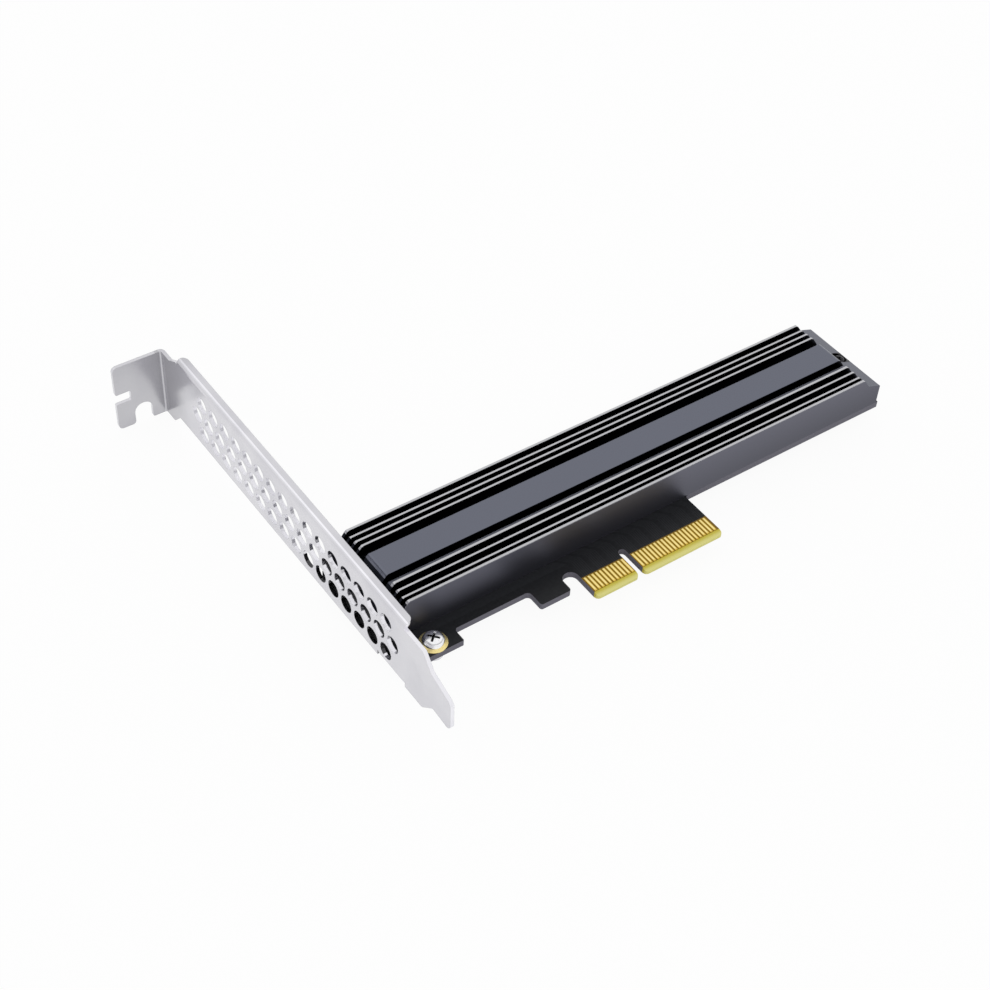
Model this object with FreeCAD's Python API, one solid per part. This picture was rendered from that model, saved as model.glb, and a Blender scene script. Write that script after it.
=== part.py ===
import FreeCAD, Part
import math
import os

# Adapter card that carries one M.2 drive in a four-lane expansion slot, in millimetres.
# Origin: centre line of the key notch, on the contact edge, at the component face of the board.
# +X runs along the card away from the bracket, +Y away from the contacts, +Z out of the component side.

# Board
board_thick = 1.6
board_gap = 0.45            # clearance between the board and the bracket plate
board_corner = 0.15
tongue_left = -12.15
tongue_right = 22.5
tongue_corner = 0.9
key_width = 1.9
key_depth = 8.25
bevel_long = 1.4
bevel_deep = 0.45
hook_width = 7.9
hook_low = 4.5              # lower edge of the retention hook, above the contact edge
notch_width = 3.75          # between the hook and the first contacts
notch_top = 9.0
shelf_low = 9.0             # lower edge of the board between the hook and the bracket
lug_width = 14.55           # screw lug beside the bracket
lug_low = 5.4

# Edge contacts
contact_pitch = 1.0
contact_width = 0.7
contact_low = 1.5
contact_top = 5.8
contact_first = 1.5         # from the key notch to the nearest contact on either side
contacts_before_key = 11
contacts_after_key = 21
foil = 0.05                 # plated copper on the board
presence_contacts = (16, 30)
presence_short = 1.2        # the presence contacts on the back start this much higher

# Bracket
sheet = 0.86
bend_inner = 0.4
plate_to_key = 58.8         # outer face of the plate to the key notch
tab_to_edge = 106.4         # top of the tab to the contact edge
plate_width = 18.42
plate_length = 119.3
tab_reach = 12.3
tab_shift = 3.17            # the tab sits this much lower than the plate
tab_corner = 1.2
neck_start = 4.8            # from the top of the tab
neck_end = 7.9
case_notch_width = 4.5
case_notch_depth = 5.4
case_notch_from_plate = 5.75
tip_slot_height = 2.8
tip_slot_depth = 3.8
tip_slot_low = 7.6          # from the low side of the tab
flange_depth = 2.31
flange_start = 8.7          # from the top of the tab
flange_end = 102.4
flange_corner = 1.6
relief_widths = (0.7, 0.25)  # at the two ends of the ear's fold
relief_depth = 1.35
foot_shoulder = 10.1        # from the foot's tip
foot_root = 6.3
foot_root_high = 7.2        # the same on the high side
foot_inset_low = 3.5
foot_drop_low = 0.7         # the low edge falls this much towards the tip
foot_inset_high = 5.0
foot_taper = 2.15
foot_slant = 0.25           # the tip's high side ends this much sooner
foot_corner_long = 0.9
foot_corner_deep = 0.8
foot_round = 1.5

# Vent holes in the plate
vent_radius = 2.05
vent_pitch = 5.06
vent_row_pitch = 4.45
vent_first = 17.34          # middle row, from the top of the tab
vent_count = 17
vent_sides = 16
vent_middle = 8.42          # middle row, from the plate's low edge

# Bracket screw and its lug
screw_from_plate = 10.22
screw_up = 8.42
screw_radius = 1.45
screw_reach = 4.0
screw_head_radius = 2.45
screw_head_height = 1.75
screw_hole_clearance = 0.15
thread_clearance = 0.03
ring_radius = 3.1
ear_fold = (4.1, 13.4)      # the fold's ends, above the contact edge
ear_low = 6.2               # the ear itself is narrower
ear_taper = 2.2
ear_beyond_screw = 3.9
ear_corner = 1.5
collar_wall = 0.8
collar_height = 0.9

# Heatsink cover
cover_middle = 25.45        # centre line, above the contact edge
cover_start = 1.45          # from the outer face of the plate
board_overhang = 0.65       # the board reaches this much past the cover's rear end
wall_height = 9.5
wall_top_thick = 0.7
band_half = 3.6
band_height = 9.7
fin_count = 3
fin_thick = 0.6
outer_groove = 1.1          # between the wall and the outermost fin
fin_pitch = 1.925
fin_height = 9.68           # fin beside the band
crown_drop = 0.32           # each fin outwards is this much lower
shoulder = (1.0, 0.65)      # width and fall of the slope on the contact side's inner fin
edge_break = 0.2
groove_floor = 6.8
step_height = 6.85          # the steep end slopes stop here
step_run = 1.85
gentle_rise = 0.37          # rise per length of the gentle slopes at the ends
end_slopes = 5.85           # length of both slopes at each end
crest_round = 1.3
foot_round_in = 0.5
bay_height = 5.5
bay_wall = 0.9
bay_corner = 0.9
end_block = 5.45            # solid length behind the bay
front_block = 4.6

# Cover screws and nuts
cover_screw_inset = 2.2     # from each end of the cover
cover_screw_radius = 0.98
cover_head_radius = 1.6
cover_head_height = 1.35
cover_seat = 4.7
cover_bore_clearance = 0.3
nut_flats = 4.0
nut_height = 1.6
nut_tail = 0.3

# Drive socket, standoff and screw
socket_depth = 8.6
socket_width = 21.9
socket_height = 4.2
socket_clearance = 0.3      # between the socket and the solid end of the cover
anchor_clearance = 0.05     # between the solder tabs and the bay's walls
slot_low = 2.35
slot_height = 1.05
slot_depth = 4.8
slot_wall = 0.95            # beside the slot
lip_short = 1.6
drive_in_socket = 4.2       # how deep the drive's edge sits, from the socket's rear face
drive_length = 110.0
standoff_from_plate = 20.15
short_drives = (80.0, 60.0, 42.0, 30.0)
pin_pitch = 0.5
pin_width = 0.22
pin_thick = 0.12
pin_channel_clearance = 0.02
pin_margin = 3.0            # the pins span this much less than the slot
key_from_middle = 5.7
key_clear = 1.1             # no pins this near the slot's key
pin_back = 1.9              # how far into the slot the rear pins reach
anchor_size = 1.6
anchor_thick = 0.25
standoff_top = 2.45
standoff_radius = 1.9
standoff_flange_radius = 2.75
standoff_flange = 0.5
standoff_pilot = 1.2
drive_screw_radius = 0.97
drive_screw_reach = 2.2
drive_head_radius = 1.8
drive_head_height = 0.7
position_hole_radius = 1.5
pad_thick = 0.5
pad_margin = 1.25           # between the pad and the bay's walls
pad_short = 8.0             # the pad is this much shorter than the drive

# Small parts on the board, under the cover
bulk_size = (7.3, 4.3, 2.8)
bulk_end = 1.3
bulk_from_standoff = 6.8
bulk_offset = 7.0
filter_size = (2.0, 1.25, 0.9)
filter_end = 0.4
filter_count = 6
filter_step = 3.4
filter_from_socket = 3.6
pull_up_size = (1.6, 0.8, 0.5)
pull_up_end = 0.3
pull_up_count = 4
pull_up_step = 4.6
pull_up_from_socket = 9.5

round_sides = 14            # sides of the small round holes and plated rings
ring_sides = 36             # of the ring round the bracket screw

# Derived places
plate_x = -plate_to_key
plate_in = plate_x + sheet
plate_low = -board_thick - sheet
plate_high = plate_low + plate_width
tab_top = tab_to_edge
tab_seat = tab_top - sheet
tab_low = plate_low - tab_shift
tab_high = plate_high - tab_shift
tab_end = plate_x - tab_reach
bend_outer = bend_inner + sheet
fold_rise = bend_outer + 0.05
plate_edge = plate_high - fold_rise    # the plate's high edge beyond the flange
foot_tip = tab_top - plate_length
board_start = plate_in + board_gap
slot_width = socket_width - 2 * slot_wall
pins_per_row = int((slot_width - pin_margin) / pin_pitch + 0.5)
bay_half = socket_width / 2 + anchor_thick + anchor_clearance
cover_width = 2 * (bay_half + bay_wall)
pad_width = 2 * (bay_half - pad_margin)
fin_outer = cover_width / 2 - wall_top_thick - outer_groove - fin_thick / 2
board_low = cover_middle - cover_width / 2
board_high = cover_middle + cover_width / 2
hook_right = tongue_left - notch_width
hook_left = hook_right - hook_width
screw_x = plate_x + screw_from_plate
lug_right = board_start + lug_width
standoff_x = plate_x + standoff_from_plate
drive_edge = standoff_x + drive_length
socket_rear = drive_edge + drive_in_socket
socket_front = socket_rear - socket_depth
bay_rear = socket_rear + socket_clearance
rear_x = bay_rear + end_block
board_end = rear_x + board_overhang
front_x = plate_x + cover_start
bay_front = front_x + front_block
front_top = front_x + end_slopes
rear_top = rear_x - end_slopes
cover_screws_x = (front_x + cover_screw_inset, rear_x - cover_screw_inset)
pad_front = standoff_x + pad_short / 4
pad_rear = pad_front + drive_length - pad_short


def spot(plane, u, v, level):
    """A point given by two plane coordinates and the level across the plane."""
    if plane == "xy":
        return FreeCAD.Vector(u, v, level)
    if plane == "xz":
        return FreeCAD.Vector(u, level, v)
    return FreeCAD.Vector(level, u, v)


def slab(plane, corners, start, end):
    """Extrude an outline of corners (u, v, radius) between two levels across its plane."""
    points = [FreeCAD.Vector(u, v, 0) for u, v, _ in corners]
    stops = []
    for i, (_, _, radius) in enumerate(corners):
        here = points[i]
        if radius <= 0:
            stops.append((here, None, here))
            continue
        back = (points[i - 1] - here).normalize()
        ahead = (points[(i + 1) % len(points)] - here).normalize()
        half = back.getAngle(ahead) / 2
        inward = (back + ahead).normalize()
        reach = radius / math.tan(half)
        crown = here + inward * (radius / math.sin(half) - radius)
        stops.append((here + back * reach, crown, here + ahead * reach))
    edges = []
    for i, (first, crown, last) in enumerate(stops):
        before = stops[i - 1][2]
        if (first - before).Length > 1e-6:
            edges.append(Part.LineSegment(lift(plane, before, start), lift(plane, first, start)).toShape())
        if crown is not None:
            arc = Part.Arc(lift(plane, first, start), lift(plane, crown, start), lift(plane, last, start))
            edges.append(arc.toShape())
    face = Part.Face(Part.Wire(edges))
    return face.extrude(spot(plane, 0, 0, end - start))


def lift(plane, point, level):
    return spot(plane, point.x, point.y, level)


def block(x0, x1, y0, y1, z0, z1):
    return Part.makeBox(x1 - x0, y1 - y0, z1 - z0, FreeCAD.Vector(x0, y0, z0))


def circle(u, v, radius, sides):
    """Corners of an even outline of this many sides, as wide across its corners as the circle."""
    steps = [2 * math.pi * (i + 0.5) / sides for i in range(sides)]
    return [(u + radius * math.cos(a), v + radius * math.sin(a), 0) for a in steps]


def rod(radius, x, y, z0, z1, sides=round_sides):
    return slab("xy", circle(x, y, radius, sides), z0, z1)


def turned(profile, x, y):
    """Revolve a closed profile of (radius, height) about a vertical axis."""
    points = [FreeCAD.Vector(r, 0, z) for r, z in profile]
    shape = Part.Face(Part.makePolygon(points + [points[0]]))
    shape = shape.revolve(FreeCAD.Vector(0, 0, 0), FreeCAD.Vector(0, 0, 1), 360)
    shape.translate(FreeCAD.Vector(x, y, 0))
    return shape


def fuse(shapes):
    return shapes[0].multiFuse(shapes[1:]).removeSplitter()


def pan_screw(x, y, seat, head_radius, head_height, shank_radius, tip):
    """Domed head on a plain shank with a pointed end and a cross recess."""
    chamfer = shank_radius * 0.3
    dome = head_height * 0.45
    head = turned([(0, seat), (head_radius, seat), (head_radius, seat + dome),
                   (head_radius * 0.86, seat + head_height * 0.82),
                   (head_radius * 0.6, seat + head_height), (0, seat + head_height)], x, y)
    shank = rod(shank_radius, x, y, tip + chamfer, seat + dome / 2)
    point = rod(shank_radius - chamfer, x, y, tip, tip + chamfer)
    top = seat + head_height
    arm = head_radius * 0.52
    half = head_radius * 0.13
    floor = top - head_height * 0.55
    cross = []
    for turn in (0, 90):
        bar = slab("xz", [(-arm, top + 0.1, 0), (-arm * 0.45, floor, 0), (arm * 0.45, floor, 0),
                          (arm, top + 0.1, 0)], -half, half)
        bar.rotate(FreeCAD.Vector(0, 0, 0), FreeCAD.Vector(0, 0, 1), turn + 20)
        bar.translate(FreeCAD.Vector(x, y, 0))
        cross.append(bar)
    return fuse([head, shank, point]).cut(cross)


def bracket():
    strip = slab("xy", [(plate_in, foot_tip, 0), (plate_in, tab_top, bend_outer), (tab_end, tab_top, 0),
                        (tab_end, tab_seat, 0), (plate_x, tab_seat, bend_inner), (plate_x, foot_tip, 0)],
                 tab_low, plate_high)
    return (strip.common(plate_mask().fuse(tab_mask()))
            .cut([fold_space(flange_span(), plate_high, -fold_rise),
                  fold_space(ear_fold, plate_low, fold_rise)])
            .multiFuse([flange(), ear()])
            .cut(reliefs() + vents() + [ear_hole()])
            .removeSplitter())


def plate_mask():
    """Outline of the flat plate, seen along the card."""
    tip_low = plate_low + foot_inset_low
    root_high = plate_high - foot_inset_high
    tip_high = root_high - foot_taper
    corners = [(tab_top, tab_low, 0), (tab_top - neck_start, tab_low, 1.0),
               (tab_top - neck_end, plate_low, 1.0),
               (foot_tip + foot_shoulder, plate_low, 1.0), (foot_tip + foot_root, tip_low, 1.0),
               (foot_tip, tip_low - foot_drop_low, foot_round),
               (foot_tip + foot_slant, tip_high - foot_corner_deep, 0.4),
               (foot_tip + foot_slant + foot_corner_long, tip_high, 0.6),
               (foot_tip + foot_root_high, root_high, 1.0),
               (foot_tip + foot_shoulder, plate_edge, 1.0),
               (tab_top - neck_end, plate_edge, 0.6), (tab_top - neck_start, tab_high, 1.0),
               (tab_top, tab_high, 0)]
    return slab("yz", corners, plate_x - bend_inner, plate_in)


def tab_mask():
    """Outline of the tab with the case screw's notch and the slot in its tip."""
    inner = plate_x - bend_inner
    notch_x = plate_x - case_notch_from_plate
    notch_half = case_notch_width / 2
    slot_low_z = tab_low + tip_slot_low
    slot_high_z = slot_low_z + tip_slot_height
    slot_in = tab_end + tip_slot_depth
    notch_in = tab_low + case_notch_depth
    corners = [(inner, tab_low, 0), (notch_x + notch_half, tab_low, 0.4),
               (notch_x + notch_half, notch_in, notch_half * 0.98),
               (notch_x - notch_half, notch_in, notch_half * 0.98),
               (notch_x - notch_half, tab_low, 0.8), (tab_end, tab_low, tab_corner),
               (tab_end, slot_low_z, 0.4), (slot_in, slot_low_z, 0.5), (slot_in, slot_high_z, 0.5),
               (tab_end, slot_high_z, 0.4), (tab_end, tab_high, tab_corner), (inner, tab_high, 0)]
    return slab("xz", corners, tab_seat, tab_top)


def flange_span():
    return tab_top - flange_end, tab_top - flange_start


def fold_space(span, edge, rise):
    low, high = sorted((edge, edge + rise))
    return block(plate_x - 1, plate_in + 1, span[0], span[1], low, high)


def fold(span, edge, rise, reach):
    """Strip of sheet that turns from the plate towards the card along the plate's long edge."""
    side = math.copysign(sheet, rise)
    corners = [(plate_x, edge + rise, 0), (plate_x, edge, bend_outer), (plate_x + reach, edge, 0),
               (plate_x + reach, edge + side, 0), (plate_in, edge + side, bend_inner),
               (plate_in, edge + rise, 0)]
    return slab("xz", corners, span[0], span[1])


def flange():
    low, high = flange_span()
    ends = slab("xy", [(plate_x - 1, low, 0), (plate_x + flange_depth, low, flange_corner),
                       (plate_x + flange_depth, high, flange_corner), (plate_x - 1, high, 0)],
                plate_low, plate_high + 1)
    return fold((low, high), plate_high, -fold_rise, flange_depth).common(ends)


def ear():
    low, high = ear_fold
    reach = screw_from_plate + ear_beyond_screw
    start = plate_x + bend_outer
    outline = slab("xy", [(plate_x - 1, low, 0), (start, low, 0.5), (start + ear_taper, ear_low, 0.8),
                          (plate_x + reach, ear_low, ear_corner), (plate_x + reach, high, ear_corner),
                          (plate_x - 1, high, 0)], plate_low - 1, plate_high)
    collar = rod(screw_radius + thread_clearance + collar_wall, screw_x, screw_up,
                 plate_low - collar_height, plate_low + sheet / 2)
    return fold(ear_fold, plate_low, fold_rise, reach).common(outline).fuse(collar)


def ear_hole():
    return rod(screw_radius + thread_clearance, screw_x, screw_up, plate_low - collar_height - 1,
               plate_low + sheet + 1)


def reliefs():
    """Small cuts that end the ear's fold cleanly."""
    below, above = relief_widths
    cuts = []
    for y0, width in ((ear_fold[0] - below, below), (ear_fold[1], above)):
        cuts.append(block(plate_x - 1, plate_in + 1, y0, y0 + width, plate_low - 1,
                          plate_low + relief_depth))
    return cuts


def vents():
    """Three staggered rows of round holes."""
    holes = []
    for row in (-1, 0, 1):
        offset = 0 if row == 0 else vent_pitch / 2
        for i in range(vent_count - abs(row)):
            y = tab_top - vent_first - offset - i * vent_pitch
            z = plate_low + vent_middle + row * vent_row_pitch
            holes.append(slab("yz", circle(y, z, vent_radius, vent_sides), plate_x - 1, plate_in + 1))
    return holes


def circuit_board():
    key = key_width / 2
    key_round = key * 0.98
    notch_round = notch_width * 0.48
    corners = [(board_start, lug_low, board_corner), (lug_right, lug_low, board_corner),
               (lug_right, shelf_low, 0.8), (hook_left, shelf_low, 1.0),
               (hook_left, hook_low, 0.6), (hook_right, hook_low, 0.6),
               (hook_right, notch_top, notch_round), (tongue_left, notch_top, notch_round),
               (tongue_left, 0, tongue_corner), (-key, 0, tongue_corner),
               (-key, key_depth, key_round), (key, key_depth, key_round),
               (key, 0, tongue_corner), (tongue_right, 0, tongue_corner),
               (tongue_right, board_low, 0.8), (board_end, board_low, board_corner),
               (board_end, board_high, board_corner), (board_start, board_high, board_corner)]
    slope = bevel_deep * (bevel_long + 1) / bevel_long
    top_bevel = slab("yz", [(bevel_long, 0, 0), (bevel_long, 1, 0), (-1, 1, 0), (-1, -slope, 0)],
                     tongue_left - 1, tongue_right + 1)
    back_bevel = top_bevel.mirror(FreeCAD.Vector(0, 0, -board_thick / 2), FreeCAD.Vector(0, 0, 1))
    below, above = -board_thick - 1, 1
    holes = [rod(screw_radius + screw_hole_clearance, screw_x, screw_up, below, above),
             rod(standoff_pilot + thread_clearance, standoff_x, cover_middle, below, above)]
    holes += [rod(cover_screw_radius + screw_hole_clearance, x, cover_middle, below, above)
              for x in cover_screws_x]
    holes += [rod(position_hole_radius, drive_edge - length, cover_middle, below, above)
              for length in short_drives]
    return slab("xy", corners, -board_thick, 0).cut([top_bevel, back_bevel] + holes)


def contact_places():
    before = [-contact_first - i * contact_pitch for i in range(contacts_before_key)]
    after = [contact_first + i * contact_pitch for i in range(contacts_after_key)]
    return sorted(before) + after


def contacts(z0, z1, short_ones):
    pads = []
    half = contact_width / 2
    for i, x in enumerate(contact_places()):
        low = contact_low + (presence_short if i in short_ones else 0)
        pads.append(block(x - half, x + half, low, contact_top, z0, z1))
    return Part.makeCompound(pads)


def ring(x, y, inner, outer, z0, z1, sides=round_sides):
    return rod(outer, x, y, z0, z1, sides).cut(rod(inner, x, y, z0 - 1, z1 + 1, sides))


def position_rings():
    """Plated rings round the board's holes for shorter drives, on both faces."""
    rings = []
    for length in short_drives:
        for z0 in (0, -board_thick - foil):
            rings.append(ring(drive_edge - length, cover_middle, position_hole_radius,
                              standoff_flange_radius, z0, z0 + foil))
    return Part.makeCompound(rings)


def end_line(top):
    """Side view of a rib of the cover that is this high: a steep and then a gentle slope at each end."""
    steep = step_run / (wall_height - step_height)
    corners = [(front_x, 0, 0), (rear_x, 0, 0)]
    for end, crest, out in ((rear_x, rear_top, 1), (front_x, front_top, -1)):
        base = crest + out * step_run
        low = step_height - gentle_rise * abs(end - base)
        if top > step_height:
            brow = crest - out * steep * (top - wall_height)
            side = [(end, low, 0.15), (base, step_height, foot_round_in), (brow, top, crest_round)]
        else:
            side = [(end, low, 0.15), (base + out * (step_height - top) / gentle_rise, top, 0)]
        corners += side if out > 0 else side[::-1]
    return corners


def rib(outline, top, sides=(-1, 1)):
    """Length of the cover with this cross-section, cut to the side view, on either side of the middle."""
    ribs = []
    for side in sides:
        section = [(cover_middle + side * y, z, r) for y, z, r in outline]
        length = slab("yz", section, front_x - 1, rear_x + 1)
        ribs.append(length.common(slab("xz", end_line(top), board_low - 1, board_high + 1)))
    return ribs


def heatsink_cover():
    half = cover_width / 2
    below = groove_floor - 1
    wall_in = half - wall_top_thick
    ribs = rib([(-1, 0, 0), (half, 0, 0), (half, groove_floor, 0), (-1, groove_floor, 0)], groove_floor)
    ribs += rib([(wall_in, below, 0), (half, below, 0), (half, wall_height, edge_break),
                 (wall_in, wall_height, edge_break * 0.6)], wall_height)
    ribs += rib([(-1, below, 0), (band_half, below, 0), (band_half, band_height, edge_break),
                 (-1, band_height, 0)], band_height)
    for i in range(fin_count):
        middle = fin_outer - i * fin_pitch
        top = fin_height - (fin_count - 1 - i) * crown_drop
        y0 = middle - fin_thick / 2
        y1 = middle + fin_thick / 2
        ribs += rib([(y0, below, 0), (y1, below, 0), (y1, top, edge_break * 0.6),
                     (y0, top, edge_break * 0.6)], top)
    width, fall = shoulder
    ribs += rib([(y0 - width, below, 0), (y1 - edge_break, below, 0), (y1 - edge_break, top - 0.01, 0),
                 (y0, top - 0.01, 0), (y0 - width, top - fall, 0)], top, (-1,))
    bay_low = board_low + bay_wall
    bay_high = board_high - bay_wall
    bay = slab("xy", [(bay_front, bay_low, bay_corner), (bay_rear, bay_low, bay_corner),
                      (bay_rear, bay_high, bay_corner), (bay_front, bay_high, bay_corner)], -1, bay_height)
    tools = [bay]
    for x in cover_screws_x:
        tools.append(rod(cover_screw_radius + screw_hole_clearance, x, cover_middle, -1, cover_seat + 1))
        tools.append(rod(cover_head_radius + cover_bore_clearance, x, cover_middle, cover_seat,
                         band_height + 1))
    return ribs[0].multiFuse(ribs[1:]).cut(tools).removeSplitter()


def nut(x):
    corner = nut_flats / 2 / math.cos(math.pi / 6)
    top = -board_thick
    angles = [math.pi / 3 * (i + 0.5) for i in range(6)]
    corners = [(x + corner * math.cos(a), cover_middle + corner * math.sin(a), 0) for a in angles]
    return slab("xy", corners, top - nut_height, top).cut(
        rod(cover_screw_radius + thread_clearance, x, cover_middle, top - nut_height - 1, top + 1))


def socket_housing():
    """Moulded drive socket: open slot towards the bracket, a channel for each row of pins."""
    y0 = cover_middle - socket_width / 2
    y1 = cover_middle + socket_width / 2
    slot_y = (cover_middle - slot_width / 2, cover_middle + slot_width / 2)
    side = [(socket_front, 0, 0), (socket_rear, 0, 0), (socket_rear, socket_height, 0.6),
            (socket_front + lip_short, socket_height, 0), (socket_front + lip_short, slot_low, 0),
            (socket_front, slot_low, 0.3)]
    body = slab("xz", side, y0, y1)
    slot = block(socket_front - 1, socket_front + lip_short + slot_depth, slot_y[0], slot_y[1],
                 slot_low, slot_low + slot_height)
    key_y = cover_middle + key_from_middle
    rail = block(drive_edge - 1, socket_front + lip_short + slot_depth + 1, key_y - 0.5, key_y + 0.5,
                 slot_low, slot_low + slot_height)
    return body.cut([slot.cut(rail), pin_channel(upper_pin()), pin_channel(lower_pin())])


def upper_pin():
    """Centre line of a rear pin: out of the slot's roof, back and down to the board."""
    roof = slot_low + slot_height + pin_thick
    tip = socket_front + lip_short + slot_depth - pin_back
    return [(tip, roof), (socket_rear, roof), (socket_rear, 0), (socket_rear + pin_thick, 0),
            (socket_rear + pin_thick, roof + pin_thick), (tip, roof + pin_thick)]


def lower_pin():
    """Outline of a front pin: along the slot's floor and down the front face."""
    floor = slot_low - 2 * pin_thick
    back = socket_front + lip_short + pin_back
    return [(back, floor), (socket_front, floor), (socket_front, 0), (socket_front - pin_thick, 0),
            (socket_front - pin_thick, floor + pin_thick), (back, floor + pin_thick)]


def pin_channel(outline):
    grow = pin_channel_clearance
    xs = [x for x, _ in outline]
    zs = [z for _, z in outline]
    level = max(zs)
    half = (pins_per_row + 1) * pin_pitch / 2
    return block(min(xs) - grow, max(xs) + grow, cover_middle - half - grow, cover_middle + half + grow,
                 level - pin_thick - grow, level + grow)


def socket_pins():
    pins = []
    for outline, shift in ((upper_pin(), pin_pitch / 4), (lower_pin(), -pin_pitch / 4)):
        for i in range(pins_per_row):
            y = cover_middle + (i - (pins_per_row - 1) / 2) * pin_pitch + shift
            if abs(y - cover_middle - key_from_middle) > key_clear:
                corners = [(x, z, 0) for x, z in outline]
                pins.append(slab("xz", corners, y - pin_width / 2, y + pin_width / 2))
    return Part.makeCompound(pins)


def socket_anchors():
    """Solder tabs at both ends of the socket."""
    tabs = []
    for side in (-1, 1):
        y = cover_middle + side * (socket_width / 2 + anchor_thick / 2)
        x = socket_front + socket_depth / 2
        tabs.append(block(x - anchor_size / 2, x + anchor_size / 2, y - anchor_thick / 2,
                          y + anchor_thick / 2, 0, anchor_size))
    return Part.makeCompound(tabs)


def standoff():
    low = -board_thick * 0.8
    steps = [rod(standoff_pilot, standoff_x, cover_middle, low, standoff_top),
             rod(standoff_flange_radius, standoff_x, cover_middle, 0, standoff_flange),
             rod(standoff_radius, standoff_x, cover_middle, 0, standoff_top)]
    bore = rod(drive_screw_radius + thread_clearance, standoff_x, cover_middle, low - 1, standoff_top + 1)
    return fuse(steps).cut(bore)


def drive_screw():
    return pan_screw(standoff_x, cover_middle, standoff_top, drive_head_radius, drive_head_height,
                     drive_screw_radius, standoff_top - drive_screw_reach)


def chips(size, end, places):
    """Bodies and plated ends of small parts that lie along X, each centred at (x, y)."""
    length, width, height = size
    bodies = []
    ends = []
    lip = 0.03
    for x, y in places:
        bodies.append(block(x - length / 2 + end, x + length / 2 - end, y - width / 2, y + width / 2,
                            lip, height))
        for x0 in (x - length / 2, x + length / 2 - end):
            ends.append(block(x0, x0 + end, y - width / 2 - lip, y + width / 2 + lip, 0, height + lip))
    return Part.makeCompound(bodies), Part.makeCompound(ends)


def column(x, count, step):
    return [(x, cover_middle + (i - (count - 1) / 2) * step) for i in range(count)]


bulk_bodies, bulk_ends = chips(bulk_size, bulk_end,
                               column(standoff_x - bulk_from_standoff, 2, 2 * bulk_offset))
filter_bodies, filter_ends = chips(filter_size, filter_end,
                                   column(socket_front - filter_from_socket, filter_count, filter_step))
pull_up_bodies, pull_up_ends = chips(pull_up_size, pull_up_end,
                                     column(socket_front - pull_up_from_socket, pull_up_count, pull_up_step))

parts = {
    "bracket": bracket(),
    "circuit_board": circuit_board(),
    "bracket_screw": pan_screw(screw_x, screw_up, foil, screw_head_radius, screw_head_height,
                               screw_radius, foil - screw_reach),
    "screw_ring": ring(screw_x, screw_up, screw_radius + screw_hole_clearance, ring_radius, 0, foil,
                       ring_sides),
    "front_contacts": contacts(0, foil, ()),
    "back_contacts": contacts(-board_thick - foil, -board_thick, presence_contacts),
    "heatsink_cover": heatsink_cover(),
    "cover_screws": Part.makeCompound([
        pan_screw(x, cover_middle, cover_seat, cover_head_radius, cover_head_height, cover_screw_radius,
                  -board_thick - nut_height - nut_tail) for x in cover_screws_x]),
    "cover_nuts": Part.makeCompound([nut(x) for x in cover_screws_x]),
    "thermal_pad": block(pad_front, pad_rear, cover_middle - pad_width / 2, cover_middle + pad_width / 2,
                         bay_height - pad_thick, bay_height),
    "socket_housing": socket_housing(),
    "socket_pins": socket_pins(),
    "socket_anchors": socket_anchors(),
    "drive_standoff": standoff(),
    "drive_screw": drive_screw(),
    "position_rings": position_rings(),
    "bulk_capacitors": bulk_bodies,
    "bulk_capacitor_ends": bulk_ends,
    "filter_capacitors": filter_bodies,
    "filter_capacitor_ends": filter_ends,
    "pull_up_resistors": pull_up_bodies,
    "pull_up_resistor_ends": pull_up_ends,
}

os.makedirs("parts", exist_ok=True)
for name, shape in parts.items():
    print(name, len(shape.Solids), "solids", round(shape.Volume, 2), "mm3", shape.isValid())
    shape.exportStep(f"parts/{name}.step")
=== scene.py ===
import bmesh
import bpy
import math
from mathutils import Matrix, Vector


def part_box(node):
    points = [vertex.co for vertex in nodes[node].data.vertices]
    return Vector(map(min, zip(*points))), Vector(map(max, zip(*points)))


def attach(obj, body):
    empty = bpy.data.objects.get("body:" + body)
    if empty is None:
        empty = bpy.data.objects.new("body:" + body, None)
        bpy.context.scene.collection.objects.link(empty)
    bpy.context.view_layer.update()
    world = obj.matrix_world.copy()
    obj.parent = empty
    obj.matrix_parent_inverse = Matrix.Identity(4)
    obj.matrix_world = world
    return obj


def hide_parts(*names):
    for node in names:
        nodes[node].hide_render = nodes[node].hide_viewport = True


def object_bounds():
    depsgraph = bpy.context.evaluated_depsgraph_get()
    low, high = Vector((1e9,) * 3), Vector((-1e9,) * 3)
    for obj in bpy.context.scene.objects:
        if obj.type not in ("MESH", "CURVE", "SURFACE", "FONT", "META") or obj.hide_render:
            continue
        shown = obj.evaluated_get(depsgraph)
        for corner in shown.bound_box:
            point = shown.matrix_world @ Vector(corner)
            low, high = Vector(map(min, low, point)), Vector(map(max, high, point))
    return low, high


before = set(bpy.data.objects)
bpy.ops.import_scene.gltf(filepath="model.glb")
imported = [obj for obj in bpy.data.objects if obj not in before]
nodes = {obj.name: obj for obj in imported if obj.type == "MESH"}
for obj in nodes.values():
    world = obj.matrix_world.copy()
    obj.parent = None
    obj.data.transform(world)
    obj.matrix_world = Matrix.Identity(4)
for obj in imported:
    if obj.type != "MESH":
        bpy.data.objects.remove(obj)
cadBox = [[float(v) for v in corner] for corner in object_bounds()]
mm = 0.001
print("card loaded,", len(nodes), "nodes")


# Camera: a long lens above the corner between bracket and contacts
camera = {"place": (-0.1890, -0.1907, 0.2863), "right": (0.81717, -0.57459, 0.04551),
          "down": (-0.38006, -0.59651, -0.70691), "ahead": (0.43334, 0.56037, -0.70583),
          "focalPixels": 1821, "imagePixels": 990, "sensor": 36, "clip": (0.01, 20)}


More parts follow.
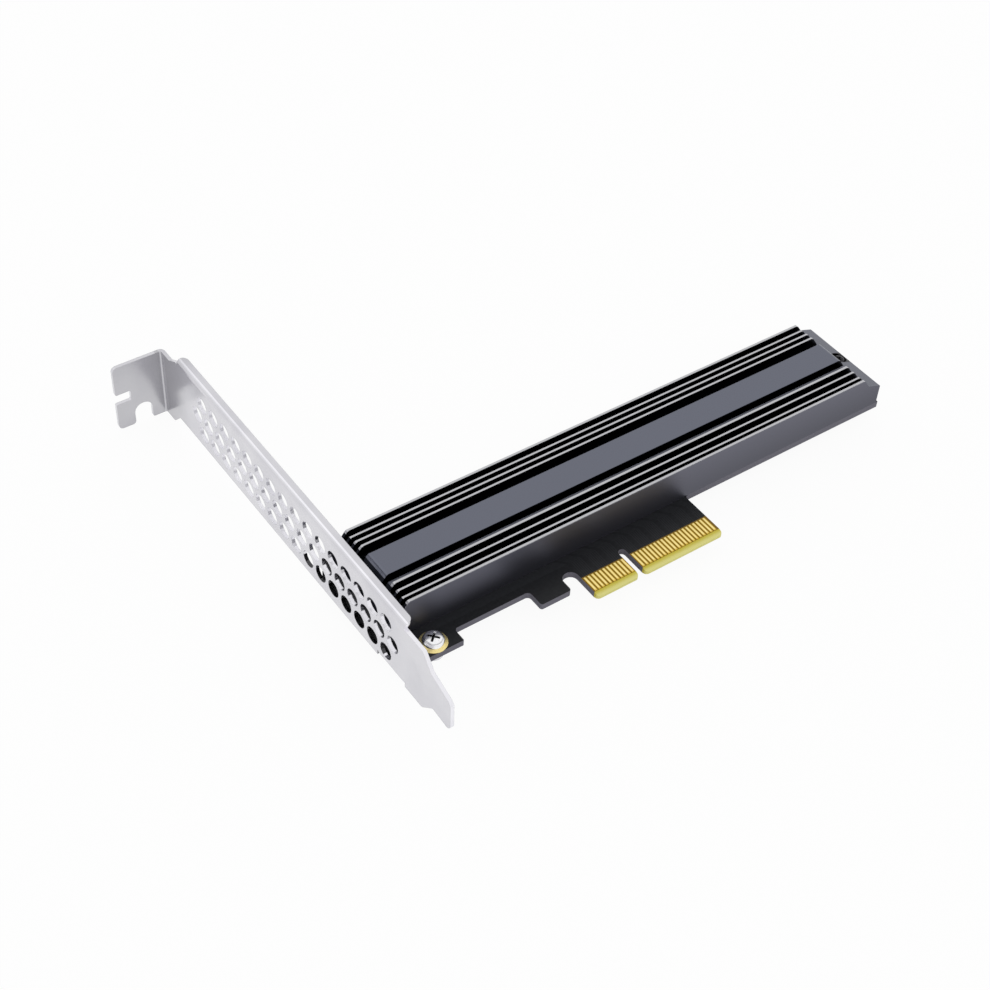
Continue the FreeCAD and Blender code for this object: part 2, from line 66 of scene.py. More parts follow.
def placeCamera(values):
    data = bpy.data.cameras.new("camera")
    data.sensor_fit = "HORIZONTAL"
    data.sensor_width = values["sensor"]
    data.lens = values["focalPixels"] / values["imagePixels"] * values["sensor"]
    data.clip_start, data.clip_end = values["clip"]
    eye = bpy.data.objects.new("camera", data)
    bpy.context.scene.collection.objects.link(eye)
    right, down, ahead = (Vector(values[k]) for k in ("right", "down", "ahead"))
    turn = Matrix((right, -down, -ahead)).transposed().to_4x4()
    eye.matrix_world = Matrix.Translation(values["place"]) @ turn
    bpy.context.scene.camera = eye


placeCamera(camera)
bpy.context.scene.view_settings.view_transform = "Standard"
print("camera placed")


class Signal:
    # one output in a node tree; sums on it add Math nodes
    def __init__(self, tree, socket=None):
        self.tree = tree
        self.socket = socket

    def node(self, kind, settings=None, inputs=None, output=0):
        made = self.tree.nodes.new("ShaderNode" + kind)
        for name, value in (settings or {}).items():
            setattr(made, name, value)
        for name, value in (inputs or {}).items():
            if isinstance(value, Signal):
                self.tree.links.new(value.socket, made.inputs[name])
            else:
                made.inputs[name].default_value = value
        return Signal(self.tree, made.outputs[output])

    def maths(self, operation, first, second=0.0):
        return self.node("Math", {"operation": operation}, {0: first, 1: second})

    def __add__(self, other):
        return self.maths("ADD", self, other)

    def __sub__(self, other):
        return self.maths("SUBTRACT", self, other)

    def __rsub__(self, other):
        return self.maths("SUBTRACT", other, self)

    def __mul__(self, other):
        return self.maths("MULTIPLY", self, other)

    def __pow__(self, other):
        return self.maths("POWER", self, other)

    def __gt__(self, other):
        return self.maths("GREATER_THAN", self, other)

    def __lt__(self, other):
        return self.maths("LESS_THAN", self, other)

    def __abs__(self):
        return self.maths("ABSOLUTE", self)

    __radd__ = __add__
    __rmul__ = __mul__


def smooth(value, low, high):
    # 0 at low and 1 at high, rounded off at both ends
    return value.node("MapRange", {"interpolation_type": "SMOOTHSTEP"},
                      {"Value": value, "From Min": low, "From Max": high})


def either(first, second):
    return first.maths("MAXIMUM", first, second)


def folded(value, width):
    # runs up to width and back down again, over and over
    return value.maths("PINGPONG", value, width)


def blend(factor, first, second):
    # inputs 6 and 7 and output 2 are the Mix node's colours
    return factor.node("Mix", {"data_type": "RGBA"}, {0: factor, 6: first, 7: second}, 2)


def scaled(colour, factor):
    return factor.node("VectorMath", {"operation": "SCALE"}, {0: colour, "Scale": factor})


def toned(colour, factor):
    return tuple(c * factor for c in colour[:3]) + (1,)


def split(vector):
    return [vector.node("SeparateXYZ", None, {0: vector}, i) for i in range(3)]


def placeOn(start):
    return split(start.node("TexCoord", output="Object"))


def facingOf(start):
    return split(start.node("NewGeometry", output="Normal"))


def newMaterial(name, sockets):
    made = bpy.data.materials.new(name)
    made.use_nodes = True
    shader = made.node_tree.nodes["Principled BSDF"]
    for socket, value in sockets.items():
        shader.inputs[socket].default_value = value
    return made, Signal(made.node_tree), shader


def feed(shader, socket, signal):
    signal.tree.links.new(signal.socket, shader.inputs[socket])


def noise(start, scale, detail=3.0, stretch=(1, 1, 1)):
    spot = start.node("Mapping", None, {"Vector": start.node("TexCoord", output="Object"), "Scale": stretch})
    return start.node("TexNoise", None, {"Vector": spot, "Scale": scale, "Detail": detail})


def bump(start, height, depth, strength, edge=0):
    # edge is the radius that the shading rounds sharp edges to
    inputs = {"Height": height, "Distance": depth, "Strength": strength}
    if edge:
        inputs["Normal"] = start.node("Bevel", {"samples": 4}, {"Radius": edge})
    return start.node("Bump", None, inputs)


# Sheet steel of the bracket
sheetSteel = {"colour": (0.60, 0.595, 0.63, 1), "pale": (0.655, 0.65, 0.68, 1),
              "grain": 2600, "grainStretch": (1, 0.35, 1), "cloud": 90, "cloudRange": (0.35, 0.65),
              "roughness": (0.20, 0.28), "depth": 0.003 * mm, "strength": 0.5, "edge": 0.16 * mm,
              "foldX": -58.8 * mm, "foldY": 105.54 * mm, "foldReach": (2 * mm, 15 * mm),
              "tabReach": (0.5 * mm, 1.5 * mm), "tabShadeTone": 0.83, "foldShadeTone": 0.78, "plateTone": 1.06,
              "edgeOn": 0.5, "tabFrom": 104.5 * mm, "edgeHighlight": 0.27,
              "plateIn": -57.8 * mm, "openFrom": 45 * mm, "punched": 0.12,
              "shaded": (-2.3 * mm, 1.2 * mm), "shadedFrom": 11.5 * mm, "shadedTone": 0.09}


def makeSheetSteel(values):
    made, start, shader = newMaterial("platedSheetSteel", {"Metallic": 1.0})
    x, y, z = placeOn(start)
    nx, ny = facingOf(start)[:2]
    grain = noise(start, values["grain"], detail=2, stretch=values["grainStretch"])
    cloud = noise(start, values["cloud"], detail=3)
    plated = blend(smooth(cloud, *values["cloudRange"]), values["colour"], values["pale"])
    # painted shade darkens the tab and the plate beside its fold
    below = smooth(values["foldY"] - y, *values["foldReach"])
    tone = values["foldShadeTone"] + below * (values["plateTone"] - values["foldShadeTone"])
    onTab = smooth(values["foldX"] - x, *values["tabReach"])
    tone = tone + onTab * (values["tabShadeTone"] - values["foldShadeTone"])
    # painted highlight on the sheared edges, the tab's edges and the vents' walls, and painted shade where
    # the board shades them
    near, far = values["tabReach"]
    punched = (abs(nx) < values["edgeOn"]) * (x < values["plateIn"]) * (x > values["foldX"] - near)
    rim = (abs(ny) < values["edgeOn"]) * (x < values["foldX"] - far) * (y > values["tabFrom"])
    low, high = values["shaded"]
    shaded = punched * (y < values["openFrom"]) * (y > values["shadedFrom"]) * (z < high) * (z > low)
    tone = tone * (1 + either(punched, rim) * values["edgeHighlight"])
    tone = tone * (1 - shaded * (1 - values["shadedTone"]))
    feed(shader, "Base Color", scaled(plated, tone))
    low, high = values["roughness"]
    rough = punched * (y > values["openFrom"]) * values["punched"]
    feed(shader, "Roughness", low + grain * (high - low) + rough)
    feed(shader, "Normal", bump(start, grain, values["depth"], values["strength"], values["edge"]))
    return made


# Dark anodised cover: bare bright fin tops, satin grey elsewhere, and painted shade, almost black, between
# the fins
cover = {"dark": (0.150, 0.158, 0.195, 1), "wall": (0.126, 0.127, 0.157, 1),
         "paintedShade": (0.012, 0.013, 0.018, 1), "bright": (0.53, 0.53, 0.55, 1),
         "grain": 9000, "depth": 0.002 * mm, "strength": 0.4, "edge": 0.12 * mm,
         "middle": 25.45 * mm, "front": -53.2 * mm, "rear": 77.1 * mm,
         "finsFrom": 5.85 * mm, "finLow": 7.0 * mm, "topFacing": (0.1, 0.85),
         "grooveFrom": 6.7 * mm, "grooveTop": 8.9 * mm, "sideways": 0.7,
         "recess": 1.95 * mm, "recessLow": 4 * mm, "recessTop": 6.4 * mm,
         "nose": -54.4 * mm, "noseTop": 8.8 * mm, "noseFacing": -0.1, "noseRoughness": 0.3,
         "shoulderIn": 4.75 * mm, "shoulderHighlightTone": 0.08, "shoulderRoughness": 0.35,
         "wallOut": 12.1 * mm, "wallLow": 1.0 * mm, "wallHigh": 9.8 * mm, "wallShadeTones": (0.84, 1.2),
         "wallRoughness": 0.25, "slopeFacing": 0.2, "slopeShadeTone": 0.8, "roughness": (0.22, 0.30)}


def makeCoverMetal(values):
    made, start, shader = newMaterial("anodisedCover", {"Metallic": 1.0})
    x, y, z = placeOn(start)
    nx, ny, nz = facingOf(start)
    fromMiddle = abs(y - values["middle"])
    # the fin tops are bare metal, and a painted highlight fades with the facing over their rounded ends
    tops = (fromMiddle > values["finsFrom"]) * (z > values["finLow"]) * smooth(nz, *values["topFacing"])
    outside = fromMiddle > values["wallOut"]
    # painted highlight on the sloped shoulder of the inner fin nearer the contacts, rising towards its top
    # edge
    inward = values["middle"] - y
    shoulder = (inward > values["shoulderIn"]) * (inward < values["finsFrom"]) * (z > values["grooveTop"])
    shoulderHighlight = shoulder * smooth(inward, values["shoulderIn"], values["finsFrom"])
    # painted shade, almost black, between the fins, in the screw recesses and on the noses behind the
    # bracket, where little light comes back
    along = (x > values["front"]) * (x < values["rear"])
    between = either(abs(ny) > values["sideways"], z < values["grooveTop"])
    between = between * (1 - outside) * (z > values["grooveFrom"]) * along
    recessShade = (fromMiddle < values["recess"]) * (z < values["recessTop"]) * (z > values["recessLow"])
    nose = (x < values["nose"]) * (z < values["noseTop"]) * (nx < values["noseFacing"])
    # painted shade: the long walls are darker low down and paler towards the top, and the rear slope is
    # darkened
    low, high = values["wallShadeTones"]
    height = z.node("MapRange", None, {"Value": z, "From Min": values["wallLow"],
                                       "From Max": values["wallHigh"], "To Min": low, "To Max": high})
    satin = blend(outside, values["dark"], scaled(values["wall"][:3], height))
    slope = (nx > values["slopeFacing"]) * (x > values["rear"])
    satin = scaled(satin, 1 - slope * (1 - values["slopeShadeTone"]))
    satin = blend(either(tops, shoulderHighlight * values["shoulderHighlightTone"]), satin, values["bright"])
    feed(shader, "Base Color", blend(either(between, either(recessShade, nose)), satin, values["paintedShade"]))
    grain = noise(start, values["grain"], detail=2)
    low, high = values["roughness"]
    rough = low + grain * (high - low) + outside * values["wallRoughness"]
    rough = rough + shoulder * values["shoulderRoughness"] + (x < values["nose"]) * values["noseRoughness"]
    feed(shader, "Roughness", rough)
    feed(shader, "Normal", bump(start, grain, values["depth"], values["strength"], values["edge"]))
    return made


# Board: black mask on the faces, bare laminate on the edges and round the contacts
board = {"mask": (0.0105, 0.011, 0.0125, 1), "edge": (0.155, 0.150, 0.180, 1),
         "bare": (0.21, 0.12, 0.01, 1), "bevel": (0.56, 0.47, 0.05, 1), "bevelLow": (0.72, 0.68, 0.24, 1),
         "shine": 0.22, "edgeRoughness": 0.75, "faceRoughness": 0.37, "clothRoughness": 0.05,
         "flat": 0.9, "shadedFrontEdge": -57.0 * mm, "left": -12.3 * mm, "right": 22.6 * mm,
         "contactTop": 6.12 * mm, "bevelTop": 1.42 * mm,
         "cloth": 2500, "clothStretch": (1, 1, 3), "clothHeight": 0.15, "depth": 0.02 * mm, "strength": 0.6,
         "trackPitch": 1.0 * mm, "trackHalf": (0.14 * mm, 0.06 * mm), "trackTurns": (11 * mm, 19 * mm),
         "trackEnd": 38 * mm, "trackTone": 0.8, "pour": 45, "pourRange": (0.515, 0.525), "pourTone": 0.45,
         "mottle": 1400, "mottleRange": (0.35, 0.7), "mottleTone": 0.3, "copperTone": 2.2,
         "fibreReach": 0.3 * mm, "fibre": (1.5 * mm, 0.4 * mm)}


def makeBoard(values):
    made, start, shader = newMaterial("blackBoard", {"Specular IOR Level": values["shine"]})
    x, y = placeOn(start)[:2]
    face = abs(facingOf(start)[2]) > values["flat"]
    tongue = (x > values["left"]) * (x < values["right"])
    bare = tongue * (y < values["contactTop"]) * face
    bevelled = tongue * (y < values["bevelTop"])
    cloth = noise(start, values["cloth"], detail=2, stretch=values["clothStretch"])
    # copper under the mask: tracks half a pitch apart leave the contacts in sixes, turn aside for a while
    # and run on, and beside them the copper is poured in patches
    low, high = values["trackTurns"]
    pitch = values["trackPitch"]
    aside = y.node("Clamp", None, {"Value": y - low, "Min": 0.0, "Max": high - low})
    lane = x + aside
    fromTrack = abs(folded(lane, pitch / 2) - pitch / 4)
    grouped = folded(lane, pitch * 2) > pitch / 2
    inside = (lane > values["left"]) * (lane < values["right"]) * (y > values["contactTop"])
    track = smooth(fromTrack, *values["trackHalf"]) * inside * (y < values["trackEnd"]) * grouped * face
    pour = smooth(noise(start, values["pour"], detail=0), *values["pourRange"])
    pour = pour * (1 - inside) * (y > low) * face
    mottle = smooth(noise(start, values["mottle"], detail=4), *values["mottleRange"])
    mottle = values["mottleTone"] * mottle + values["pourTone"] * pour
    mottle = either(mottle, track * values["trackTone"])
    masked = blend(mottle, values["mask"], toned(values["mask"], values["copperTone"]))
    # painted shade: the board's edge behind the bracket gets the dark mask colour
    colour = blend(either(face, x < values["shadedFrontEdge"]), values["edge"], masked)
    colour = blend(bare, colour, values["bare"])
    fibre = smooth(y + cloth * values["fibreReach"], *values["fibre"])
    feed(shader, "Base Color", blend(bevelled, colour, blend(fibre, values["bevel"], values["bevelLow"])))
    smoother = values["edgeRoughness"] - values["faceRoughness"]
    feed(shader, "Roughness", values["edgeRoughness"] - face * smoother + cloth * values["clothRoughness"])
    feed(shader, "Normal", bump(start, track + cloth * values["clothHeight"], values["depth"],
                                values["strength"]))
    return made


# Gold plate, with painted shade towards the long sides and the lower end of each edge contact
goldPlate = {"deep": (0.97, 0.74, 0.26, 1), "pale": (1.0, 0.90, 0.46, 1), "side": (0.64, 0.41, 0.03, 1),
             "pitch": 1.0 * mm, "fromGap": (0.20 * mm, 0.40 * mm), "fromEnd": (1.4 * mm, 2.2 * mm),
             "contactTop": 6.0 * mm, "contactLeft": -12.4 * mm,
             "rub": 1800, "rubStretch": (1, 0.12, 1), "roughness": (0.14, 0.28),
             "depth": 0.003 * mm, "strength": 0.5}


def makeGold(values):
    made, start, shader = newMaterial("goldPlate", {"Metallic": 1.0})
    x, y = placeOn(start)[:2]
    rub = noise(start, values["rub"], detail=2, stretch=values["rubStretch"])
    middle = smooth(folded(x, values["pitch"] / 2), *values["fromGap"])
    middle = middle * smooth(y, *values["fromEnd"])
    # the rings are plain, without the contacts' painted shade
    middle = either(middle, (y > values["contactTop"]) + (x < values["contactLeft"]))
    plated = blend(rub, values["deep"], values["pale"])
    feed(shader, "Base Color", blend(middle, values["side"], plated))
    low, high = values["roughness"]
    feed(shader, "Roughness", low + rub * (high - low))
    feed(shader, "Normal", bump(start, rub, values["depth"], values["strength"]))
    return made


# Plain platings and mouldings: a cloudy tint, a little uneven in its shine
cloudy = {"range": (0.3, 0.7), "metalTint": 0.85, "metalShine": 0.1, "solidTint": 0.75, "solidShine": 0.12,
          "strength": 0.5}


def makePlain(name, sockets, colour, tint, roughness, shine, grain, detail, depth):
    made, start, shader = newMaterial(name, sockets)
    cloud = noise(start, grain, detail)
    tinted = blend(smooth(cloud, *cloudy["range"]), toned(colour, tint), colour)
    feed(shader, "Base Color", tinted)
    feed(shader, "Roughness", roughness + cloud * shine)
    feed(shader, "Normal", bump(start, cloud, depth, cloudy["strength"]))
    return made


def makeMetal(name, colour, roughness, grain=3000, depth=0.002 * mm):
    return makePlain(name, {"Metallic": 1.0}, colour, cloudy["metalTint"], roughness,
                     cloudy["metalShine"], grain, 3, depth)


def makeSolid(name, colour, roughness, grain=2500, depth=0.01 * mm):
    return makePlain(name, {}, colour, cloudy["solidTint"], roughness, cloudy["solidShine"], grain, 4, depth)


def dress(node, material):
    slots = nodes[node].data.materials
    slots.clear()
    slots.append(material)


gold = makeGold(goldPlate)
nickel = makeMetal("brightNickel", (0.86, 0.86, 0.88, 1), 0.08)
blackZinc = makeMetal("blackZinc", (0.035, 0.035, 0.04, 1), 0.22)
tin = makeMetal("tinnedEnd", (0.74, 0.74, 0.72, 1), 0.30, 6000, 0.006 * mm)
finishes = {"bracket": makeSheetSteel(sheetSteel), "heatsink_cover": makeCoverMetal(cover),
            "circuit_board": makeBoard(board), "screw_ring": gold, "position_rings": gold,
            "front_contacts": gold, "back_contacts": gold, "socket_pins": gold,
            "bracket_screw": nickel, "drive_screw": nickel, "drive_standoff": nickel,
            "cover_nuts": nickel, "cover_screws": blackZinc, "socket_anchors": tin,
            "bulk_capacitor_ends": tin, "filter_capacitor_ends": tin, "pull_up_resistor_ends": tin,
            "socket_housing": makeSolid("blackMoulding", (0.018, 0.018, 0.019, 1), 0.55),
            "thermal_pad": makeSolid("siliconePad", (0.33, 0.38, 0.44, 1), 0.8, 1500),
            "bulk_capacitors": makeSolid("capacitorMoulding", (0.09, 0.075, 0.06, 1), 0.6),
            "filter_capacitors": makeSolid("capacitorCeramic", (0.42, 0.31, 0.22, 1), 0.5, 9000),
            "pull_up_resistors": makeSolid("resistorGlaze", (0.025, 0.025, 0.03, 1), 0.3)}
for node, material in finishes.items():
    dress(node, material)
print("finishes on", len(finishes), "nodes")


def deselect():
    if bpy.context.mode != "OBJECT":
        bpy.ops.object.mode_set(mode="OBJECT")
    bpy.ops.object.select_all(action="DESELECT")


# how near to level or upright a face lies to be picked
facing = {"level": 0.9, "upright": 0.1}


def facesUp(normal):
    return normal.z > facing["level"]


def facesDown(normal):
    return normal.z < -facing["level"]


def facesAside(normal):
    return abs(normal.z) < facing["upright"]


def pick(test):
    # in edit mode, selects only the faces whose normal passes the test
    bpy.ops.mesh.select_mode(type="FACE")
    bpy.ops.mesh.select_all(action="DESELECT")
    mesh = bmesh.from_edit_mesh(bpy.context.object.data)
    for face in mesh.faces:
        if test(face.normal):
            face.select_set(True)
    mesh.select_flush_mode()
    bmesh.update_edit_mesh(bpy.context.object.data)


def close(threshold):
    # in edit mode, merges doubles and turns all faces outward
    bpy.ops.mesh.select_mode(type="VERT")
    bpy.ops.mesh.select_all(action="SELECT")
    bpy.ops.mesh.remove_doubles(threshold=threshold)
    bpy.ops.mesh.normals_make_consistent(inside=False)


def pull(rise, narrower=1, centre=(0, 0, 0)):
    # in edit mode, extrudes the picked faces along Z and scales their new end about centre
    bpy.ops.mesh.extrude_region_move(TRANSFORM_OT_translate={"value": (0, 0, rise)})
    if narrower != 1:
        bpy.ops.transform.resize(value=(narrower, narrower, 1), center_override=centre)


def carve(target, cutter, operation="DIFFERENCE"):
    # cuts one mesh with another and drops the cutter
    change = target.modifiers.new("carve", "BOOLEAN")
    change.operation = operation
    change.solver = "EXACT"
    change.object = cutter
    deselect()
    bpy.context.view_layer.objects.active = target
    target.select_set(True)
    bpy.ops.object.modifier_apply(modifier=change.name)
    bpy.data.objects.remove(cutter)


def joined(pieces):
    deselect()
    for piece in pieces:
        piece.select_set(True)
    bpy.context.view_layer.objects.active = pieces[0]
    bpy.ops.object.join()
    return bpy.context.object


finishing = {"doubles": 0.002 * mm, "smoothAngle": 0.6}


def finishPiece(piece, name, material, node, angle=finishing["smoothAngle"]):
    deselect()
    bpy.context.view_layer.objects.active = piece
    piece.select_set(True)
    bpy.ops.object.transform_apply(location=True, rotation=True, scale=True)
    bpy.ops.object.mode_set(mode="EDIT")
    close(finishing["doubles"])
    bpy.ops.object.mode_set(mode="OBJECT")
    bpy.ops.object.shade_smooth_by_angle(angle=angle)
    piece.name = name
    piece.data.materials.clear()
    piece.data.materials.append(material)
    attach(piece, "root")
    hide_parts(node)


def boxOf(node):
    low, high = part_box(node)
    return Vector(low), Vector(high)


# Pan head screws: domed head, driver's cross, rolled thread
screwShape = {"sides": 48, "threadSteps": 24, "softAngle": 0.7, "doubles": 0.001 * mm,
              # shares of the head
              "dome": ((1.0, 0.34), (0.975, 0.5), (0.92, 0.66), (0.82, 0.81), (0.68, 0.92), (0.48, 0.985),
                       (0.24, 1.0)),
              "crossHalf": 0.15, "crossDeep": 0.62, "crossFoot": 0.45, "soft": 0.02,
              # shares of the shank or the pitch
              "pointLength": 0.4, "pointWidth": 0.6, "threadDeep": 0.16, "threadFoot": 0.96,
              "threadHalf": 0.46}


def turnBody(shape, centre, seat, radius, height, core, low):
    # the head is a cylinder drawn up into a dome
    x, y = centre
    dome = shape["dome"]
    wall = dome[0][1] * height
    deselect()
    bpy.ops.mesh.primitive_cylinder_add(vertices=shape["sides"], radius=radius, depth=wall,
                                        location=(x, y, seat + wall / 2))
    body = bpy.context.object
    bpy.ops.object.transform_apply(location=True)
    bpy.ops.object.mode_set(mode="EDIT")
    pick(facesUp)
    for (wide, below), (narrow, above) in zip(dome, dome[1:]):
        pull((above - below) * height, narrow / wide, (x, y, seat + above * height))
    # the shank grows out of the seat, with a thinner pointed end
    point = core * shape["pointLength"]
    pick(facesDown)
    bpy.ops.mesh.inset(thickness=radius - core)
    pull(low + point - seat)
    pull(-point, shape["pointWidth"], (x, y, low))
    close(shape["doubles"])
    bpy.ops.object.mode_set(mode="OBJECT")
    return body


def makeCross(shape, centre, top, radius, height, arm, turn):
    # four arms pulled out of a small hub, narrower at the bottom
    half = radius * shape["crossHalf"]
    deep = height * shape["crossDeep"]
    deselect()
    bpy.ops.mesh.primitive_cube_add(size=2, location=(0, 0, 0))
    cross = bpy.context.object
    cross.scale = (half, half, deep)
    bpy.ops.object.transform_apply(scale=True)
    bpy.ops.object.mode_set(mode="EDIT")
    pick(facesAside)
    bpy.ops.mesh.extrude_faces_move(TRANSFORM_OT_shrink_fatten={"value": arm - half})
    pick(facesDown)
    foot = shape["crossFoot"]
    bpy.ops.transform.resize(value=(foot, foot, 1), center_override=(0, 0, -deep))
    bpy.ops.object.mode_set(mode="OBJECT")
    cross.rotation_euler = (0, 0, math.radians(turn))
    cross.location = (*centre, top)
    return cross


def soften(piece, shape, radius):
    # takes the sharpness off the cut edges
    edges = piece.modifiers.new("soften", "BEVEL")
    edges.width = radius * shape["soft"]
    edges.segments = 2
    edges.limit_method = "ANGLE"
    edges.angle_limit = shape["softAngle"]
    bpy.ops.object.modifier_apply(modifier=edges.name)


def windThread(shape, centre, start, seat, shank, core, pitch):
    # a small triangle wound up the shank
    deselect()
    bpy.ops.mesh.primitive_circle_add(vertices=3, radius=pitch / 2, location=(0, 0, 0),
                                      rotation=(math.pi / 2, 0, 0))
    thread = bpy.context.object
    bpy.ops.object.transform_apply(location=True, rotation=True)
    for corner in thread.data.vertices:
        outward = corner.co.z > 0
        along = 0 if outward else math.copysign(pitch * shape["threadHalf"], corner.co.x)
        corner.co = (shank if outward else core * shape["threadFoot"], 0, along)
    wind = thread.modifiers.new("wind", "SCREW")
    wind.axis = "Z"
    wind.steps = shape["threadSteps"]
    wind.render_steps = shape["threadSteps"]
    wind.iterations = max(1, int((seat - start) / pitch - 1))
    wind.screw_offset = pitch
    wind.use_merge_vertices = True
    bpy.ops.object.modifier_apply(modifier=wind.name)
    # the two open ends are filled
    bpy.ops.object.mode_set(mode="EDIT")
    bpy.ops.mesh.select_mode(type="VERT")
    bpy.ops.mesh.select_all(action="DESELECT")
    bpy.ops.mesh.select_non_manifold()
    bpy.ops.mesh.fill()
    bpy.ops.mesh.select_all(action="SELECT")
    bpy.ops.mesh.normals_make_consistent(inside=False)
    bpy.ops.object.mode_set(mode="OBJECT")
    thread.location = (*centre, start + pitch / 2)
    bpy.ops.object.transform_apply(location=True)
    return thread


def makeScrew(values, centre, radius, low, top, turn):
    shape = screwShape
    height = values["headHeight"]
    seat = top - height
    core = values["shank"] * (1 - shape["threadDeep"])
    screw = turnBody(shape, centre, seat, radius, height, core, low)
    carve(screw, makeCross(shape, centre, top, radius, height, radius * values["crossArm"], turn))
    soften(screw, shape, radius)
    thread = windThread(shape, centre, low + core * shape["pointLength"], seat, values["shank"], core,
                        values["pitch"])
    return joined([screw, thread])


# Bright screw through the bracket's ear, with painted shade in its cross
bracketScrew = {"headHeight": 1.75 * mm, "shank": 1.45 * mm, "pitch": 0.6 * mm, "turn": 42,
                "crossArm": 0.82, "crossReach": 0.85, "crossShadeFrom": (0.1, 0.32),
                "colour": (0.90, 0.90, 0.92, 1), "pale": (0.97, 0.97, 0.98, 1),
                "crossShade": (0.05, 0.055, 0.055, 1), "roughness": (0.20, 0.28),
                "cloud": 1800, "depth": 0.002 * mm, "strength": 0.4}


def makeScrewPlate(values, middle, radius, top):
    made, start, shader = newMaterial("bracketScrewPlate", {"Metallic": 1.0})
    x, y, z = placeOn(start)
    height = values["headHeight"]
    away = (x - middle.x) ** 2.0 + (y - middle.y) ** 2.0
    inside = (away < (radius * values["crossReach"]) ** 2) * (z > top - height)
    # painted shade darkens the cross further down
    shallow, deep = values["crossShadeFrom"]
    recessShade = smooth(z, top - shallow * height, top - deep * height)
    cloud = noise(start, values["cloud"], detail=3)
    plated = blend(smooth(cloud, *cloudy["range"]), values["colour"], values["pale"])
    feed(shader, "Base Color", blend(inside * recessShade, plated, values["crossShade"]))
    low, high = values["roughness"]
    feed(shader, "Roughness", low + cloud * (high - low))
    feed(shader, "Normal", bump(start, cloud, values["depth"], values["strength"]))
    return made


def makeOneScrew(values, name, node, finish=None):
    low, high = boxOf(node)
    middle = (low + high) / 2
    radius = (high.x - low.x) / 2
    screw = makeScrew(values, middle.xy, radius, low.z, high.z, values["turn"])
    if finish is None:
        finish = makeScrewPlate(values, middle, radius, high.z)
    finishPiece(screw, name, finish, node)


# Small screw that holds the drive down on its standoff
driveScrew = {"headHeight": 0.7 * mm, "shank": 0.97 * mm, "pitch": 0.4 * mm, "turn": 35, "crossArm": 0.66}

# Black screws at the two ends of the cover
coverScrews = {"headHeight": 1.35 * mm, "shank": 0.98 * mm, "pitch": 0.4 * mm, "turns": (50, 10),
               "crossArm": 0.66}


def makeCoverScrews(values):
    low, high = boxOf("cover_screws")
    radius = (high.y - low.y) / 2
    pair = []
    for x, turn in zip((low.x + radius, high.x - radius), values["turns"]):
        pair.append(makeScrew(values, (x, (low.y + high.y) / 2), radius, low.z, high.z, turn))
    finishPiece(joined(pair), "coverScrews", blackZinc, "cover_screws")


# Hexagon nuts with chamfered corners
coverNuts = {"flats": 4.0 * mm, "hole": 1.0 * mm, "height": 1.6 * mm, "face": 0.97, "slope": 1.73,
             "barrel": 1.1, "over": 0.2 * mm, "sides": 48, "holeSides": 32, "smoothAngle": 0.5}


def makeNuts(values):
    low, high = boxOf("cover_nuts")
    half = values["flats"] / 2
    height = values["height"]
    corner = half / math.cos(math.pi / 6)
    wide = corner * values["barrel"]
    face = half * values["face"]
    level = height / 2 - (wide - face) / values["slope"]
    rise = height / 2 + values["over"] - level
    narrow = (face - values["over"] * values["slope"]) / wide
    pair = []
    for x in (low.x + half, high.x - half):
        deselect()
        bpy.ops.mesh.primitive_cylinder_add(vertices=6, radius=corner, depth=height, location=(0, 0, 0))
        nut = bpy.context.object
        # only what lies inside a barrel is kept, so the corners come off
        deselect()
        bpy.ops.mesh.primitive_cylinder_add(vertices=values["sides"], radius=wide, depth=level * 2,
                                            location=(0, 0, 0))
        barrel = bpy.context.object
        bpy.ops.object.mode_set(mode="EDIT")
        for test, end in ((facesDown, -1), (facesUp, 1)):
            pick(test)
            pull(end * rise, narrow)
        bpy.ops.object.mode_set(mode="OBJECT")
        carve(nut, barrel, "INTERSECT")
        deselect()
        bpy.ops.mesh.primitive_cylinder_add(vertices=values["holeSides"], radius=values["hole"],
                                            depth=height * 2, location=(0, 0, 0))
        carve(nut, bpy.context.object)
        nut.location = (x, (low.y + high.y) / 2, (low.z + high.z) / 2)
        pair.append(nut)
    finishPiece(joined(pair), "coverNuts", nickel, "cover_nuts", values["smoothAngle"])


makeOneScrew(bracketScrew, "bracketScrew", "bracket_screw")
makeOneScrew(driveScrew, "driveScrew", "drive_screw", nickel)
makeCoverScrews(coverScrews)
makeNuts(coverNuts)
print("screws and nuts made")


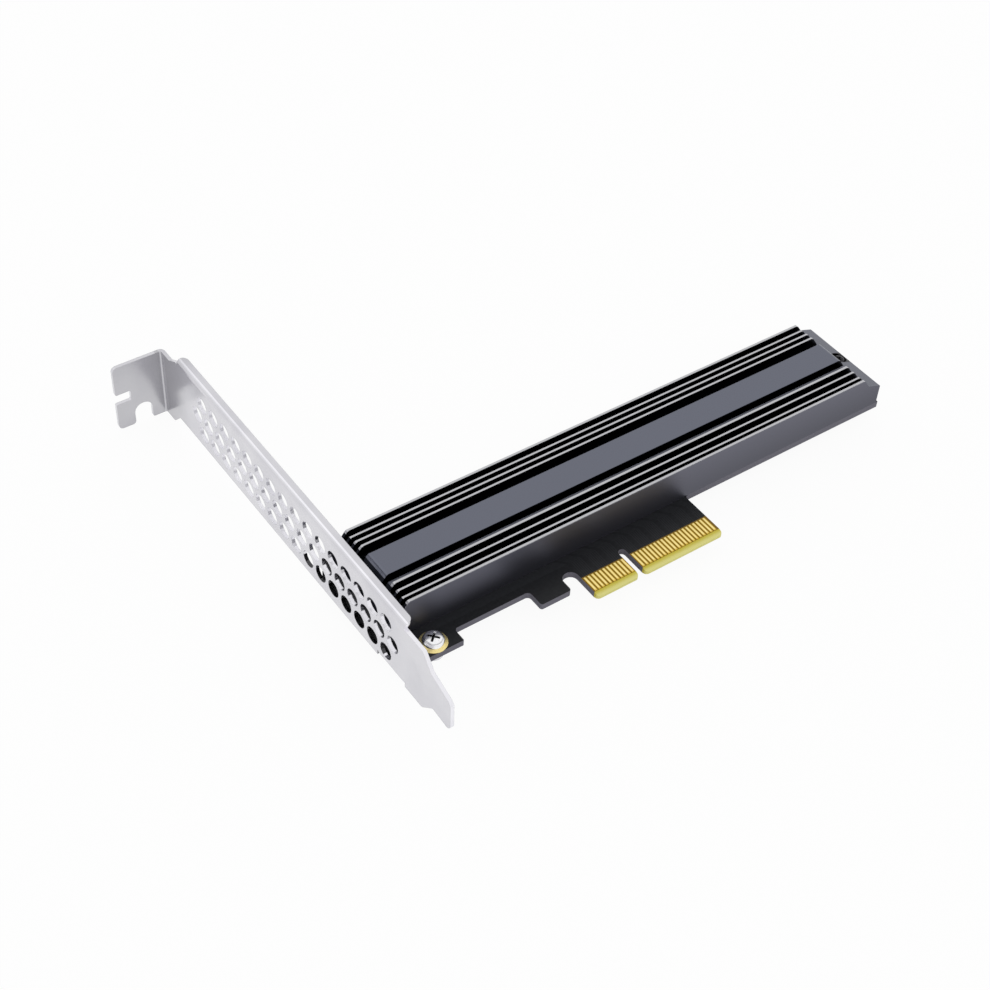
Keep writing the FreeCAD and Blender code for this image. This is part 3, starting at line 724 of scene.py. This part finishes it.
# Studio: white floor, even sky, one broad lamp high on the left
studio = {"floorSize": 6.0, "floorDrop": 0.0001, "floorColour": (0.86, 0.86, 0.86, 1), "floorGlow": 0.94,
          "white": (1, 1, 1, 1), "sky": 0.92, "skyMirrored": 0.95,
          "lampPlace": (-0.55, 0.55, 0.75), "lampSize": 0.9, "lampPower": 0.3}


def layFloor(values):
    low = min(corner[2] for corner in cadBox)
    bpy.ops.mesh.primitive_plane_add(size=values["floorSize"], location=(0, 0, low - values["floorDrop"]))
    floor = bpy.context.object
    floor.name = "floor"
    made = bpy.data.materials.new("paleFloor")
    made.use_nodes = True
    tree = made.node_tree
    tree.nodes.clear()
    start = Signal(tree)
    # seen directly or mirrored the floor glows almost white, and the rest of it takes the shadow
    seen = either(start.node("LightPath", output="Is Camera Ray"),
                  start.node("LightPath", output="Is Glossy Ray"))
    diffuse = start.node("BsdfDiffuse", None, {"Color": values["floorColour"]})
    glow = start.node("Emission", None, {"Color": values["white"], "Strength": 1.0})
    mixed = start.node("MixShader", None, {0: seen * values["floorGlow"], 1: diffuse, 2: glow})
    out = tree.nodes.new("ShaderNodeOutputMaterial")
    tree.links.new(mixed.socket, out.inputs["Surface"])
    floor.data.materials.append(made)


def lightSky(values):
    world = bpy.data.worlds.new("studio")
    bpy.context.scene.world = world
    world.use_nodes = True
    back = world.node_tree.nodes["Background"]
    start = Signal(world.node_tree)
    # pure white where the camera sees it, a little less for what it lights
    seen = start.node("LightPath", output="Is Camera Ray")
    mirrored = start.node("LightPath", output="Is Glossy Ray")
    strength = mirrored * (values["skyMirrored"] - values["sky"]) + values["sky"]
    feed(back, "Strength", seen * (1 - values["sky"]) + strength)
    back.inputs["Color"].default_value = values["white"]


def hangLamp(values):
    lamp = bpy.data.lights.new("keyLamp", "AREA")
    lamp.shape = "SQUARE"
    lamp.size = values["lampSize"]
    lamp.energy = values["lampPower"]
    holder = bpy.data.objects.new("keyLamp", lamp)
    bpy.context.scene.collection.objects.link(holder)
    holder.location = values["lampPlace"]
    holder.rotation_euler = (-Vector(values["lampPlace"])).to_track_quat("-Z", "Y").to_euler()


layFloor(studio)
lightSky(studio)
hangLamp(studio)
print("studio lit")
